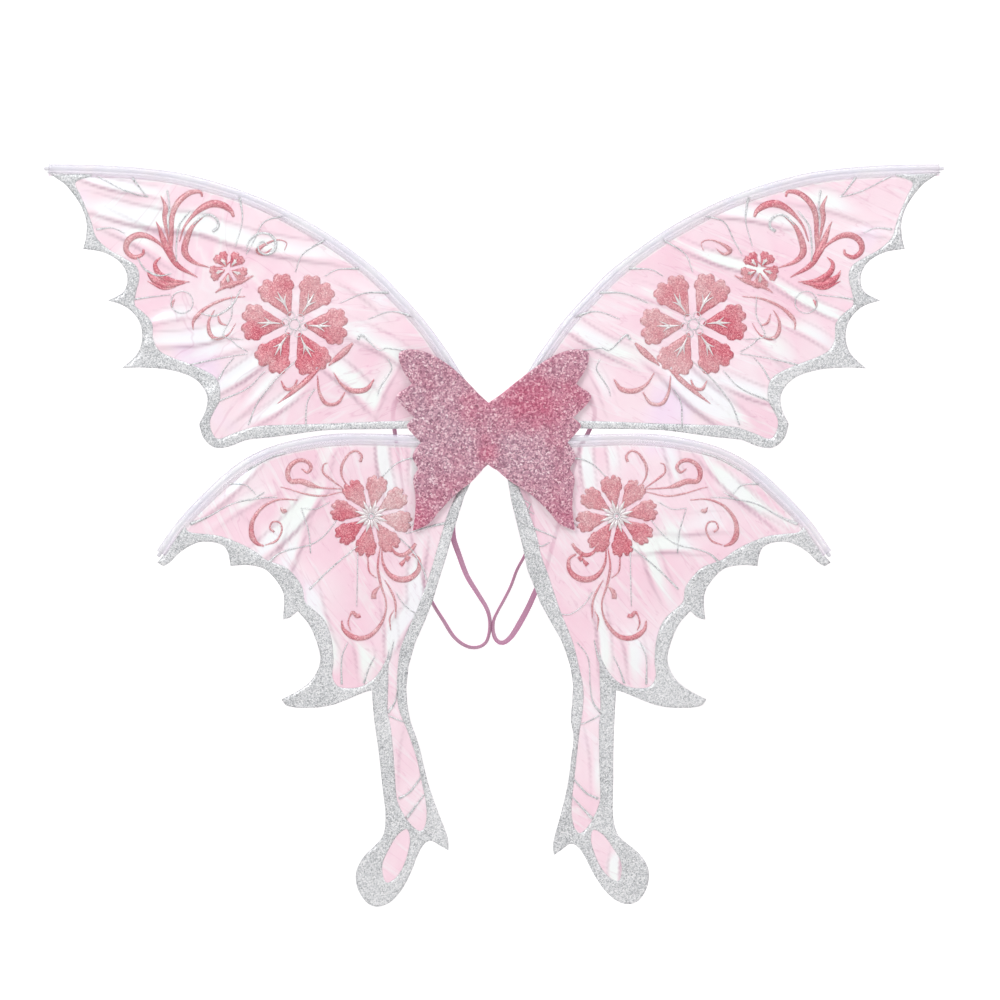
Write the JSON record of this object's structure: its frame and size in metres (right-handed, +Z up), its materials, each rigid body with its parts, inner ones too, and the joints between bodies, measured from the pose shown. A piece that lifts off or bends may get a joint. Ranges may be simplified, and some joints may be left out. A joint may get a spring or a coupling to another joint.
{
  "type": "costume wings",
  "caption": "Translucent film butterfly wings on bent wire, folding about a creased foam hub, with elastic shoulder loops.",
  "frame": {"origin": "middle of the back pad's rear face, where the wings rest on the wearer's back", "axes": "+Z up as worn, +Y out of the back pad towards the wearer, +X to the right when the display face is looked at"},
  "size_m": [0.898, 0.0268, 0.7406],
  "materials": {
    "film": "translucent pearl film, wrinkled",
    "casing_film": "translucent folded film, pearl",
    "wire_coat": "smooth vinyl over spring wire",
    "vinyl_cap": "moulded, satin",
    "plate": "moulded, satin",
    "glitter_foam": "glitter bonded to foam",
    "plain_foam": "fine closed-cell foam",
    "webbing": "plain woven",
    "elastic": "ribbed woven elastic",
    "silver_glitter": "printed glitter",
    "rose_glitter": "printed glitter"
  },
  "bodies": {
    "spine": {"front_crease": "glitter_foam", "spine_webbing": "webbing", "back_pad": "plain_foam", "left_top_tab": "webbing", "left_bottom_tab": "webbing", "left_strap": "elastic", "right_top_tab": "webbing", "right_bottom_tab": "webbing", "right_strap": "elastic"},
    "left_wing": {"left_upper_film": "film", "left_lower_film": "film", "left_upper_casing": "casing_film", "left_lower_casing": "casing_film", "left_upper_wire": "wire_coat", "left_lower_wire": "wire_coat", "left_upper_tip_cap": "vinyl_cap", "left_lower_tip_cap": "vinyl_cap", "left_wire_plate": "plate", "left_front_foam": "glitter_foam", "left_back_foam": "plain_foam"},
    "right_wing": {"right_upper_film": "film", "right_lower_film": "film", "right_upper_casing": "casing_film", "right_lower_casing": "casing_film", "right_upper_wire": "wire_coat", "right_lower_wire": "wire_coat", "right_upper_tip_cap": "vinyl_cap", "right_lower_tip_cap": "vinyl_cap", "right_wire_plate": "plate", "right_front_foam": "glitter_foam", "right_back_foam": "plain_foam"}
  },
  "joints": [
    {"name": "right_fold", "type": "hinge", "parent": "spine", "child": "right_wing", "pos_m": [0.004, -0.0167, 0], "axis": [0, 0, -1], "range_deg": [0, 85]},
    {"name": "left_fold", "type": "hinge", "parent": "spine", "child": "left_wing", "pos_m": [-0.004, -0.0167, 0], "axis": [0, 0, 1], "range_deg": [0, 85]}
  ]
}
